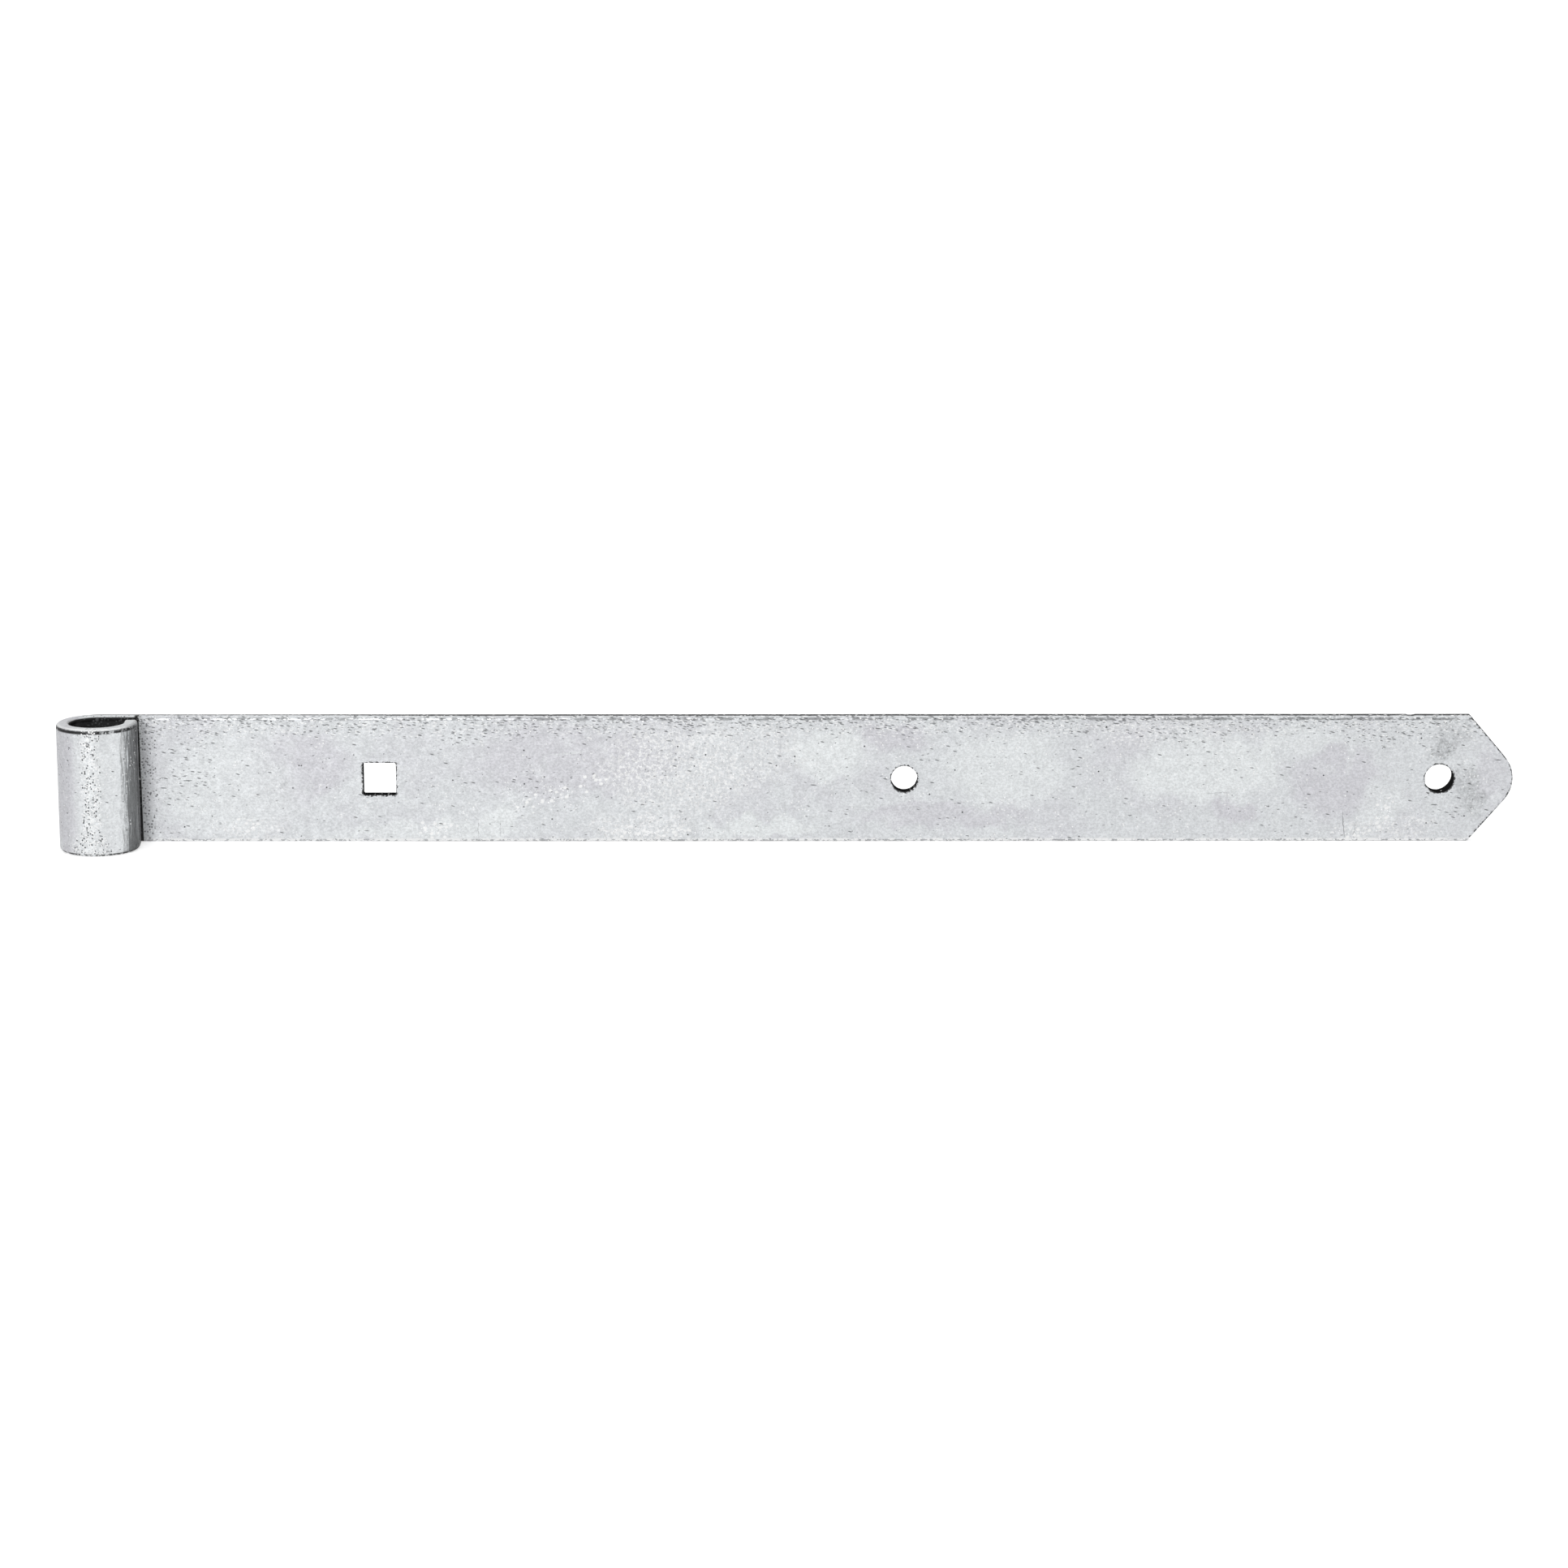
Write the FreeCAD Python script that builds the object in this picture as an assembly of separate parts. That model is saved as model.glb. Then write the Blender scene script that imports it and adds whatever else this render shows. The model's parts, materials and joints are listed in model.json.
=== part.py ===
"""The band of a hook and band gate hinge: a flat bar rolled into an eye at one end.

The eye's axis is +Z, the band runs towards +X, and the face that lies on the gate looks along +Y.
The origin is on the eye's axis, halfway up the band. All sizes are in millimetres and degrees.
"""
import FreeCAD, Part
import math
import os

# Flat bar, hot rolled with rounded edges
bar_width = 40.0
bar_thickness = 4.2
rolled_edge_radius = 1.2

# Eye, rolled from the end of the bar, for a pin of 16
eye_bore = 16.4
lip_straight = 3.0
lip_gap = 4.6
lip_edge_radius = 0.6

# Tip, cropped to a blunt point
eye_axis_to_nose = 437.6
nose_radius = 10.5
crop_angle = 49.6

# Fixing holes: the first is square, for the neck of a coach bolt
square_hole_side = 10.2
eye_axis_to_square_hole = 86.0
middle_hole_diameter = 8.2
eye_axis_to_middle_hole = 248.8
tip_hole_diameter = 9.0
nose_to_tip_hole = 22.8

# How far a cutting tool stands clear of what it cuts
tool_margin = 2.0

X_AXIS = FreeCAD.Vector(1, 0, 0)
Y_AXIS = FreeCAD.Vector(0, 1, 0)
Z_AXIS = FreeCAD.Vector(0, 0, 1)
EYE_AXIS_POINT = FreeCAD.Vector(0, 0, 0)
QUARTER_TURN = 90.0
FULL_TURN = 360.0

bore_radius = eye_bore / 2
eye_radius = bore_radius + bar_thickness
half_width = bar_width / 2
front_face_y = bore_radius
back_face_y = eye_radius


def roll_angle():
    """Return the angle the bar is bent through, so that its straight lip ends at lip_gap from the band.

    The lip's outer corner lies on a circle about the eye's axis, and its height gives the bend's end.
    """
    corner_radius = math.hypot(eye_radius, lip_straight)
    corner_height = bore_radius - lip_gap
    past_quarter = math.asin(corner_height / corner_radius) - math.atan2(lip_straight, eye_radius)
    return FULL_TURN - QUARTER_TURN + math.degrees(past_quarter)


def bar_section():
    """Return the bar's rounded section as a face in the plane across the band at the eye's axis."""
    inset = rolled_edge_radius
    corners = [
        FreeCAD.Vector(0, front_face_y + inset, -half_width + inset),
        FreeCAD.Vector(0, back_face_y - inset, -half_width + inset),
        FreeCAD.Vector(0, back_face_y - inset, half_width - inset),
        FreeCAD.Vector(0, front_face_y + inset, half_width - inset),
    ]
    core = Part.makePolygon(corners + corners[:1])
    return Part.Face(core.makeOffset2D(inset))


def tip_outline():
    """Return a face in the band's own plane: a wide blank that ends in two slanted cuts and a round nose."""
    slope = math.radians(crop_angle)
    nose_centre_x = eye_axis_to_nose - nose_radius
    apex_x = nose_centre_x + nose_radius / math.sin(slope)
    touch_x = nose_centre_x + nose_radius * math.sin(slope)
    touch_z = nose_radius * math.cos(slope)
    blank_z = half_width + tool_margin
    cut_start_x = apex_x - blank_z / math.tan(slope)

    lower_touch = FreeCAD.Vector(touch_x, 0, -touch_z)
    nose = FreeCAD.Vector(eye_axis_to_nose, 0, 0)
    upper_touch = FreeCAD.Vector(touch_x, 0, touch_z)
    run = [
        upper_touch,
        FreeCAD.Vector(cut_start_x, 0, blank_z),
        FreeCAD.Vector(-tool_margin, 0, blank_z),
        FreeCAD.Vector(-tool_margin, 0, -blank_z),
        FreeCAD.Vector(cut_start_x, 0, -blank_z),
        lower_touch,
    ]
    edges = [Part.makeLine(start, end) for start, end in zip(run, run[1:])]
    edges.append(Part.Arc(lower_touch, nose, upper_touch).toShape())
    return Part.Face(Part.Wire(edges))


def through_tool(outline):
    """Return a tool made from a flat outline in the band's plane, long enough to pass through the bar."""
    tool = outline.extrude(Y_AXIS * (bar_thickness + 2 * tool_margin))
    tool.translate(Y_AXIS * (front_face_y - tool_margin))
    return tool


def round_hole(centre_x, diameter):
    """Return the punch of a round hole at centre_x."""
    rim = Part.makeCircle(diameter / 2, FreeCAD.Vector(centre_x, 0, 0), Y_AXIS)
    return through_tool(Part.Face(Part.Wire(rim)))


def square_hole(centre_x, side):
    """Return the punch of a square hole at centre_x, its sides along and across the band."""
    half = side / 2
    signs = [(-1, -1), (1, -1), (1, 1), (-1, 1), (-1, -1)]
    corners = [FreeCAD.Vector(centre_x + sx * half, 0, sz * half) for sx, sz in signs]
    return through_tool(Part.Face(Part.makePolygon(corners)))


def make_strap():
    """Return the straight part of the band, cropped at its tip and punched with its fixing holes."""
    strap = bar_section().extrude(X_AXIS * (eye_axis_to_nose + tool_margin))
    strap = strap.common(through_tool(tip_outline()))
    punches = [
        square_hole(eye_axis_to_square_hole, square_hole_side),
        round_hole(eye_axis_to_middle_hole, middle_hole_diameter),
        round_hole(eye_axis_to_nose - nose_to_tip_hole, tip_hole_diameter),
    ]
    return strap.cut(punches)


def make_roll():
    """Return the bent part of the eye, from where the strap ends to where the lip starts."""
    return bar_section().revolve(EYE_AXIS_POINT, Z_AXIS, roll_angle())


def make_lip():
    """Return the short straight end of the roll, its sheared end dulled all round."""
    lip = bar_section().extrude(-X_AXIS * lip_straight)
    cut_end = [edge for edge in lip.Edges if edge.BoundBox.XMax < -lip_straight / 2]
    lip = lip.makeFillet(lip_edge_radius, cut_end)
    lip.rotate(EYE_AXIS_POINT, Z_AXIS, roll_angle())
    return lip


def make_band():
    """Return the whole band as the one solid that it is."""
    band = make_strap().fuse([make_roll(), make_lip()]).removeSplitter()
    return band.Solids[0]


band = make_band()
os.makedirs("parts", exist_ok=True)
band.exportStep("parts/band.step")

print("roll angle %.2f" % roll_angle())
print("overall length %.2f" % band.BoundBox.XLength)
print("volume %.0f, valid %s" % (band.Volume, band.isValid()))
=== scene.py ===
"""The band of a hook and band gate hinge, in hot-dip zinc coated steel.

A flat bar is rolled into an eye at one end, cropped to a blunt point at the other, and punched with one
square and two round holes. The bar is laid out flat as a blank, in millimetres, and a node tree then rolls its
eye. What reaches Blender is in metres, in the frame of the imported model: the eye's axis is +Z, the band runs
towards +X, and the camera looks at its front face from -Y.
"""
import json
import logging
import math
import random
from dataclasses import dataclass, field
from enum import Enum

import bmesh
import bpy
from mathutils import Matrix, Vector, noise
from mathutils.geometry import delaunay_2d_cdt


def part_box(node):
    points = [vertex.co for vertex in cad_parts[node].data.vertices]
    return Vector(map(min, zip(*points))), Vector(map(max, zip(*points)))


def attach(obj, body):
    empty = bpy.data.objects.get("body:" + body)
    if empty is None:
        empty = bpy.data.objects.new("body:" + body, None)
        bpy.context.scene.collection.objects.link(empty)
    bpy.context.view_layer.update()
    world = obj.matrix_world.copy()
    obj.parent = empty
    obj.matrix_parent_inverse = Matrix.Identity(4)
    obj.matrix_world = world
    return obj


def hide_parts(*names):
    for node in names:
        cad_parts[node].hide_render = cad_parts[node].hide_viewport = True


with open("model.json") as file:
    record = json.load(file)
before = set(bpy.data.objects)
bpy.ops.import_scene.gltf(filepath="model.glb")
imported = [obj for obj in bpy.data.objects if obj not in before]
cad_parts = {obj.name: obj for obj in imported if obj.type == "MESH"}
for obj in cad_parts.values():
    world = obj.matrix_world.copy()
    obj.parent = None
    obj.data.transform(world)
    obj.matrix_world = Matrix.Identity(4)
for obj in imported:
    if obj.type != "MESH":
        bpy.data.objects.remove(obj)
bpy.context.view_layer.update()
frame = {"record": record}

MM = 0.001
QUARTER = math.pi / 2
PICTURE_SIDE = 1932
NODE = "band"
BODY = "root"
FAR = 1.0e6

log = logging.getLogger("hinge_band")


class Side(Enum):
    """A face of the bar, by the sign of its way through the thickness."""

    FRONT = -1
    BACK = 1


class EdgeKind(Enum):
    """How an edge of the bar came about, which settles how it is rounded."""

    ROLLED = "rolled"
    CROPPED = "cropped"
    PUNCHED = "punched"
    LIP = "lip"


def smooth_step(value: float, start: float, end: float) -> float:
    """Return 0 at start, 1 at end, and a smooth rise between them.

    Args:
        value: where to read the rise.
        start: where the rise begins.
        end: where the rise ends.

    Returns:
        A number from 0 to 1.
    """
    share = min(max((value - start) / (end - start), 0.0), 1.0)
    return share * share * (3.0 - 2.0 * share)


def mount_named(name: str) -> dict:
    """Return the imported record's mount of that name."""
    return next(mount for mount in frame["record"]["mounts"] if mount["name"] == name)


def put(name: str, data: bpy.types.ID) -> bpy.types.Object:
    """Return a new object of some data, linked to the scene."""
    piece = bpy.data.objects.new(name, data)
    bpy.context.scene.collection.objects.link(piece)
    return piece


@dataclass(frozen=True)
class EdgeForm:
    """The rounding of one kind of edge and how finely it is meshed, in millimetres."""

    front_radius: float
    back_radius: float
    rows: int
    spacing: float
    raggedness: float = 0.0

    def radius(self, side: Side) -> float:
        """Return the rounding on one face of the bar."""
        return self.front_radius if side is Side.FRONT else self.back_radius

    def depths(self) -> list[float]:
        """Return how far in from the edge its rows of points lie, the edge itself first."""
        radius = max(self.front_radius, self.back_radius)
        turns = [QUARTER * row / self.rows for row in range(self.rows + 1)]
        return [radius * (1.0 - math.cos(turn)) for turn in turns] + [radius * 1.25]


EDGE_FORMS = {
    EdgeKind.ROLLED: EdgeForm(1.2, 1.2, 6, 0.9),
    EdgeKind.CROPPED: EdgeForm(0.40, 0.20, 4, 0.40, 0.10),
    EdgeKind.PUNCHED: EdgeForm(0.12, 0.08, 2, 0.30, 0.06),
    EdgeKind.LIP: EdgeForm(0.6, 0.6, 4, 0.5, 0.06),
}
WALL_MARKS = {EdgeKind.ROLLED: 0.0, EdgeKind.CROPPED: 1.0, EdgeKind.LIP: 1.0, EdgeKind.PUNCHED: 2.0}
LEAST_MARKS = {"Zinc": -1.0, "Sheared zinc": 0.5, "Punched zinc": 1.5}


@dataclass(frozen=True)
class RimPoint:
    """A point on the blank's rim: its place, the way out of the steel, and the kind of edge."""

    u: float
    z: float
    out_u: float
    out_z: float
    kind: EdgeKind


@dataclass(frozen=True)
class Hole:
    """A punched hole, square with rounded corners. A round hole's corner radius is half its size.

    A burr at the back may stand in the hole, furthest at burr_turn, measured from the way along the bar.
    """

    centre_u: float
    half_size: float
    corner_radius: float
    burr: float = 0.0
    burr_turn: float = math.radians(-45.0)
    burr_reach: float = 0.8

    @property
    def flat(self) -> float:
        """Half the straight part of a side."""
        return self.half_size - self.corner_radius

    def clearance(self, u: float, z: float) -> float:
        """Return how far a point lies outside the hole's rim, in millimetres."""
        beyond_u = abs(u - self.centre_u) - self.flat
        beyond_z = abs(z) - self.flat
        corner = math.hypot(max(beyond_u, 0.0), max(beyond_z, 0.0))
        return corner + min(max(beyond_u, beyond_z), 0.0) - self.corner_radius

    def burred(self, u: float, z: float) -> tuple[float, float]:
        """Return a point of the back face, drawn into the hole where the burr stands in it."""
        over_u = u - self.centre_u
        facing = max(math.cos(math.atan2(z, over_u) - self.burr_turn), 0.0) ** 2
        near_rim = math.exp(-max(self.clearance(u, z), 0.0) / self.burr_reach)
        pull = self.burr * facing * near_rim / math.hypot(over_u, z)
        return u - over_u * pull, z - z * pull

    def rim(self, spacing: float) -> list[RimPoint]:
        """Return the rim's points in order round the hole.

        Args:
            spacing: the wanted distance between points.

        Returns:
            Rim points whose way out of the steel looks into the hole.
        """
        flat, radius = self.flat, self.corner_radius
        flat_steps = max(1, round(2 * flat / spacing)) if flat > spacing / 2 else 0
        arc_steps = max(3, round(radius * QUARTER / spacing))
        points = []
        for quarter in range(4):
            turn = quarter * QUARTER
            along_u, along_z = math.cos(turn), math.sin(turn)
            for step in range(flat_steps):
                slide = -flat + 2 * flat * step / flat_steps
                u = self.centre_u + along_u * self.half_size - along_z * slide
                z = along_z * self.half_size + along_u * slide
                points.append(RimPoint(u, z, -along_u, -along_z, EdgeKind.PUNCHED))
            corner_u = self.centre_u + (along_u - along_z) * flat
            corner_z = (along_z + along_u) * flat
            for step in range(arc_steps):
                angle = turn + QUARTER * step / arc_steps
                way_u, way_z = math.cos(angle), math.sin(angle)
                u, z = corner_u + way_u * radius, corner_z + way_z * radius
                points.append(RimPoint(u, z, -way_u, -way_z, EdgeKind.PUNCHED))
        return points


@dataclass(frozen=True)
class Ridge:
    """A run of zinc that stands on a face, or a dent where its height is below zero, in millimetres."""

    u: float
    z: float
    half_length: float
    half_width: float
    height: float
    slant: float = 0.0
    side: Side = Side.FRONT

    def from_middle(self, u: float, z: float) -> tuple[float, float]:
        """Return how far a point lies from the ridge's middle, along it and across it."""
        over_u, over_z = u - self.u, z - self.z
        cosine, sine = math.cos(self.slant), math.sin(self.slant)
        return over_u * cosine + over_z * sine, over_z * cosine - over_u * sine

    def lift(self, u: float, z: float) -> float:
        """Return how far the ridge lifts the face at a point."""
        along, across = self.from_middle(u, z)
        reach = (along / self.half_length) ** 4 + (across / self.half_width) ** 2
        return self.height * math.exp(-min(reach, 60.0))

    def reaches(self, u: float, z: float, margin: float) -> bool:
        """Return whether a point is on the ridge or within the margin of it."""
        along, across = self.from_middle(u, z)
        return abs(along) < self.half_length * 1.3 + margin and abs(across) < self.half_width * 2.2 + margin

    def points(self, spacing: float) -> list[tuple[float, float]]:
        """Return a close grid of points that carries the ridge.

        Args:
            spacing: the distance between rows.

        Returns:
            u and z of each point.
        """
        length, width = self.half_length * 1.3, self.half_width * 2.2
        rows, columns = math.ceil(2 * width / spacing), math.ceil(2 * length / spacing / 1.6)
        cosine, sine = math.cos(self.slant), math.sin(self.slant)
        points = []
        for row in range(rows + 1):
            across = -width + 2 * width * row / rows
            for column in range(columns + 1):
                along = -length + 2 * length * (column + 0.5 * (row % 2)) / (columns + 0.5)
                u = self.u + along * cosine - across * sine
                z = self.z + along * sine + across * cosine
                points.append((u, z))
        return points


@dataclass(frozen=True)
class Nick:
    """A small gap knocked out of a long edge, in millimetres."""

    u: float
    half_width: float
    depth: float
    upper: bool

    def bite(self, u: float, z: float) -> float:
        """Return how far the edge is pushed in at a point."""
        if (z > 0) is not self.upper:
            return 0.0
        return self.depth * smooth_step(abs(z), 18.2, 19.9) * math.exp(-((u - self.u) / self.half_width) ** 4)


class Number:
    """A number in a node tree, of which further numbers can be made."""

    def __init__(self, write: "TreeWriter", socket: bpy.types.NodeSocket) -> None:
        """Keep the socket, and the writer that adds nodes to its tree."""
        self.write = write
        self.socket = socket

    def __add__(self, other: object) -> "Number":
        """Return the sum."""
        return self.write.math("ADD", self, other)

    def __sub__(self, other: object) -> "Number":
        """Return the difference."""
        return self.write.math("SUBTRACT", self, other)

    def __rsub__(self, other: object) -> "Number":
        """Return what is left of a plain number."""
        return self.write.math("SUBTRACT", other, self)

    def __mul__(self, other: object) -> "Number":
        """Return the product."""
        return self.write.math("MULTIPLY", self, other)

    __rmul__ = __mul__

    def __truediv__(self, other: object) -> "Number":
        """Return the quotient."""
        return self.write.math("DIVIDE", self, other)

    def __neg__(self) -> "Number":
        """Return the number with its sign turned."""
        return self * -1.0

    def __abs__(self) -> "Number":
        """Return the number without its sign."""
        return self.write.math("ABSOLUTE", self)

    def ramp(self, start: float, end: float, low: float = 0.0, high: float = 1.0) -> "Number":
        """Return a smooth, clamped rise from low to high as the number goes from start to end."""
        inputs = dict(enumerate((self, start, end, low, high)))
        return self.write.number("ShaderNodeMapRange", inputs, interpolation_type="SMOOTHSTEP")

    def band(self, centre: float, half_width: float) -> "Number":
        """Return 1 where the number is at the centre, falling softly to 0 at half_width from it."""
        return abs(self - centre).ramp(half_width, half_width * 0.35)


class TreeWriter:
    """Adds nodes to a shader or geometry tree that starts empty, and wires them as it goes."""

    def __init__(self, tree: bpy.types.NodeTree) -> None:
        """Empty the tree, and keep it to write into."""
        tree.nodes.clear()
        self.tree = tree

    def add(self, kind: str, inputs: dict = {}, **settings: object) -> bpy.types.Node:
        """Add one node.

        Args:
            kind: the node's type.
            inputs: what feeds its inputs, by their name or number.
            settings: properties of the node.

        Returns:
            The new node.
        """
        count = len(self.tree.nodes)
        node = self.tree.nodes.new(kind)
        node.location = (count * 180, -(count % 7) * 160)
        for name, value in settings.items():
            setattr(node, name, value)
        for key, value in inputs.items():
            self.feed(node.inputs[key], value)
        return node

    def feed(self, socket: bpy.types.NodeSocket, value: object) -> None:
        """Wire a number or a socket to an input, or set the input's value."""
        value = value.socket if isinstance(value, Number) else value
        if isinstance(value, bpy.types.NodeSocket):
            self.tree.links.new(value, socket)
        elif value is not None:
            socket.default_value = value

    def socket(
        self, kind: str, inputs: dict = {}, output: int | str = 0, **settings: object
    ) -> bpy.types.NodeSocket:
        """Add one node and return one of its outputs."""
        return self.add(kind, inputs, **settings).outputs[output]

    def number(self, kind: str, inputs: dict = {}, output: int | str = 0, **settings: object) -> Number:
        """Add one node and return one of its outputs as a number."""
        return Number(self, self.socket(kind, inputs, output, **settings))

    def parts(self, vector: object) -> list[Number]:
        """Return the X, Y and Z of a vector."""
        return [Number(self, output) for output in self.add("ShaderNodeSeparateXYZ", {0: vector}).outputs]

    def vector(self, x: object, y: object, z: object) -> bpy.types.NodeSocket:
        """Return a vector made of three numbers."""
        return self.socket("ShaderNodeCombineXYZ", {0: x, 1: y, 2: z})

    def math(self, operation: str, first: object, second: object = None) -> Number:
        """Return the result of one sum."""
        return self.number("ShaderNodeMath", {0: first, 1: second}, operation=operation)

    def most(self, first: object, *others: object) -> Number:
        """Return the largest of the numbers."""
        for other in others:
            first = self.math("MAXIMUM", first, other)
        return first

    def stretch(
        self,
        vector: object,
        sizes: tuple[float, float, float],
        slant: float = 0.0,
        origin: tuple[float, float, float] = (0.0, 0.0, 0.0),
    ) -> bpy.types.NodeSocket:
        """Return a place as seen from an origin, along axes that rise by slant, in units of its sizes.

        Args:
            vector: the place.
            sizes: the length along each axis that becomes one.
            slant: how far the X axis is turned up, in radians.
            origin: the place that becomes zero.

        Returns:
            A vector socket.
        """
        inputs = {"Vector": vector, "Location": origin, "Rotation": (0.0, -slant, 0.0), "Scale": sizes}
        return self.socket("ShaderNodeMapping", inputs, vector_type="TEXTURE")

    def in_millimetres(self, vector: object) -> bpy.types.NodeSocket:
        """Return a place in metres as one in millimetres."""
        return self.socket("ShaderNodeVectorMath", {"Vector": vector, "Scale": 1 / MM}, operation="SCALE")

    def noise(self, vector: object, scale: object, detail: float = 2.0, rough: float = 0.5) -> Number:
        """Return soft noise from 0 to 1 with scale waves in a unit of length."""
        inputs = {"Vector": vector, "Scale": scale, "Detail": detail, "Roughness": rough}
        return self.number("ShaderNodeTexNoise", inputs, noise_dimensions="3D")

    def warped(self, vector: object, scale: float, reach: float) -> bpy.types.NodeSocket:
        """Return a place pushed about by soft noise, by up to reach each way."""
        inputs = {"Vector": vector, "Scale": scale, "Detail": 3.0}
        cloud = self.socket("ShaderNodeTexNoise", inputs, "Color", noise_dimensions="3D")
        centred = self.socket("ShaderNodeVectorMath", {0: cloud, 1: (0.5, 0.5, 0.5)}, operation="SUBTRACT")
        pushed = {0: centred, 1: (2.0 * reach, 2.0 * reach, 2.0 * reach), 2: vector}
        return self.socket("ShaderNodeVectorMath", pushed, operation="MULTIPLY_ADD")

    def mix(self, share: object, first: object, second: object, blend: str = "MIX") -> bpy.types.NodeSocket:
        """Return two colours mixed by a share."""
        settings = {"data_type": "RGBA", "blend_type": blend, "clamp_factor": True}
        return self.socket("ShaderNodeMix", {0: share, 6: first, 7: second}, 2, **settings)

    def patches(self, vector: object, patches: tuple["Patch", ...]) -> Number:
        """Return a mask of soft oval patches, each as strong as its amount.

        Args:
            vector: the place in millimetres.
            patches: the patches.

        Returns:
            A number from 0 to 1.
        """
        masks = []
        for patch in patches:
            sizes = (patch.half_x * 1.25, FAR, patch.half_z * 1.25)
            seen = self.stretch(vector, sizes, patch.slant, (patch.x, 0.0, patch.z))
            ball = self.number("ShaderNodeTexGradient", {0: seen}, "Fac", gradient_type="SPHERICAL")
            masks.append(ball.ramp(0.0, 0.48, 0.0, patch.amount))
        return self.most(0.0, *masks)

    def spots(self, vector: object, scale: float, radius: float, kept: object) -> Number:
        """Return a mask of scattered spots.

        Args:
            vector: the place.
            scale: cells in a unit of length, each with at most one spot.
            radius: a spot's radius as a share of its cell.
            kept: the share of the cells that have a spot.

        Returns:
            A number, 1 in a spot and 0 away from it.
        """
        cells = {"Vector": vector, "Scale": scale}
        node = self.add("ShaderNodeTexVoronoi", cells, voronoi_dimensions="3D", feature="F1")
        chance = self.socket("ShaderNodeSeparateColor", {0: node.outputs["Color"]})
        present = self.math("LESS_THAN", chance, kept)
        return Number(self, node.outputs["Distance"]).ramp(radius, radius * 0.55) * present

    def end(self, kind: str, result: object) -> None:
        """Add the tree's output node and feed it the result."""
        self.add(kind, {0: result})


def new_material(name: str) -> tuple[bpy.types.Material, TreeWriter]:
    """Return a new material, and the writer of its tree."""
    material = bpy.data.materials.new(name)
    material.use_nodes = True
    return material, TreeWriter(material.node_tree)


def new_group(name: str, given: str, sizes: list[str], finishes: list[str]) -> TreeWriter:
    """Make a geometry node tree with named inputs and one result.

    Args:
        name: the tree's name.
        given: the name of the geometry that it works on.
        sizes: the names of its numbers.
        finishes: the names of its materials.

    Returns:
        The writer of the tree.
    """
    tree = bpy.data.node_groups.new(name, "GeometryNodeTree")
    kinds = {given: "Geometry"} | dict.fromkeys(sizes, "Float") | dict.fromkeys(finishes, "Material")
    for title, kind in kinds.items():
        tree.interface.new_socket(title, in_out="INPUT", socket_type="NodeSocket" + kind)
    tree.interface.new_socket("Result", in_out="OUTPUT", socket_type="NodeSocketGeometry")
    return TreeWriter(tree)


def apply_tree(piece: bpy.types.Object, tree: bpy.types.NodeTree, values: dict[str, object]) -> None:
    """Run a node tree on a piece and keep the result as its plain mesh.

    Args:
        piece: the object that the tree works on.
        tree: the geometry node tree.
        values: the tree's named inputs.
    """
    modifier = piece.modifiers.new(tree.name, "NODES")
    modifier.node_group = tree
    for item in tree.interface.items_tree:
        if item.item_type == "SOCKET" and item.in_out == "INPUT" and item.name in values:
            modifier[item.identifier] = values[item.name]
    evaluated = piece.evaluated_get(bpy.context.evaluated_depsgraph_get())
    mesh = bpy.data.meshes.new_from_object(evaluated)
    piece.modifiers.remove(modifier)
    mesh.name = piece.name
    piece.data = mesh


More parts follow.
